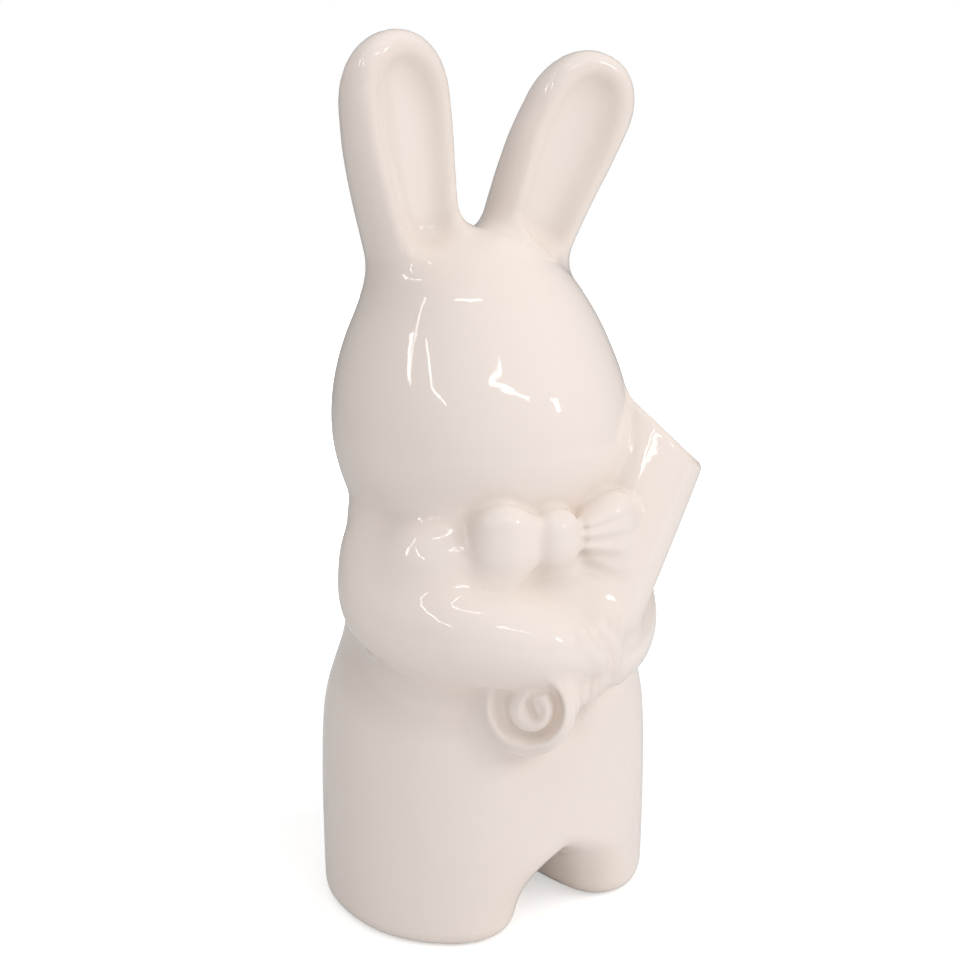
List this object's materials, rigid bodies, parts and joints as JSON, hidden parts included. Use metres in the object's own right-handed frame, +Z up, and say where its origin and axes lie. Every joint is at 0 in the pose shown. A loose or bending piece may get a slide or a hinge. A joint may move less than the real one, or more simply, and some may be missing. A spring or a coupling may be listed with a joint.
{
  "type": "rabbit vase",
  "caption": "Glazed ceramic figure of an upright rabbit in a bow tie, holding a rolled paper cone that is the vessel for flowers.",
  "frame": {"origin": "middle of the bounding box's underside, at the level of the soles", "axes": "+Z up through the head and ears, -Y the way the rabbit faces, +X its left side, where the vessel's mouth is"},
  "size_m": [0.1464, 0.1318, 0.3003],
  "materials": {
    "white_glaze": "glossy warm white glaze over white earthenware"
  },
  "bodies": {
    "root": {"body": "white_glaze", "head": "white_glaze", "ear_right": "white_glaze", "ear_left": "white_glaze", "arm_right": "white_glaze", "arm_left": "white_glaze", "bouquet_wrapper_vessel": "white_glaze", "wrapper_rolled_end": "white_glaze", "bow_loop_right": "white_glaze", "bow_loop_left": "white_glaze", "bow_knot": "white_glaze", "tail": "white_glaze"}
  },
  "joints": []
}
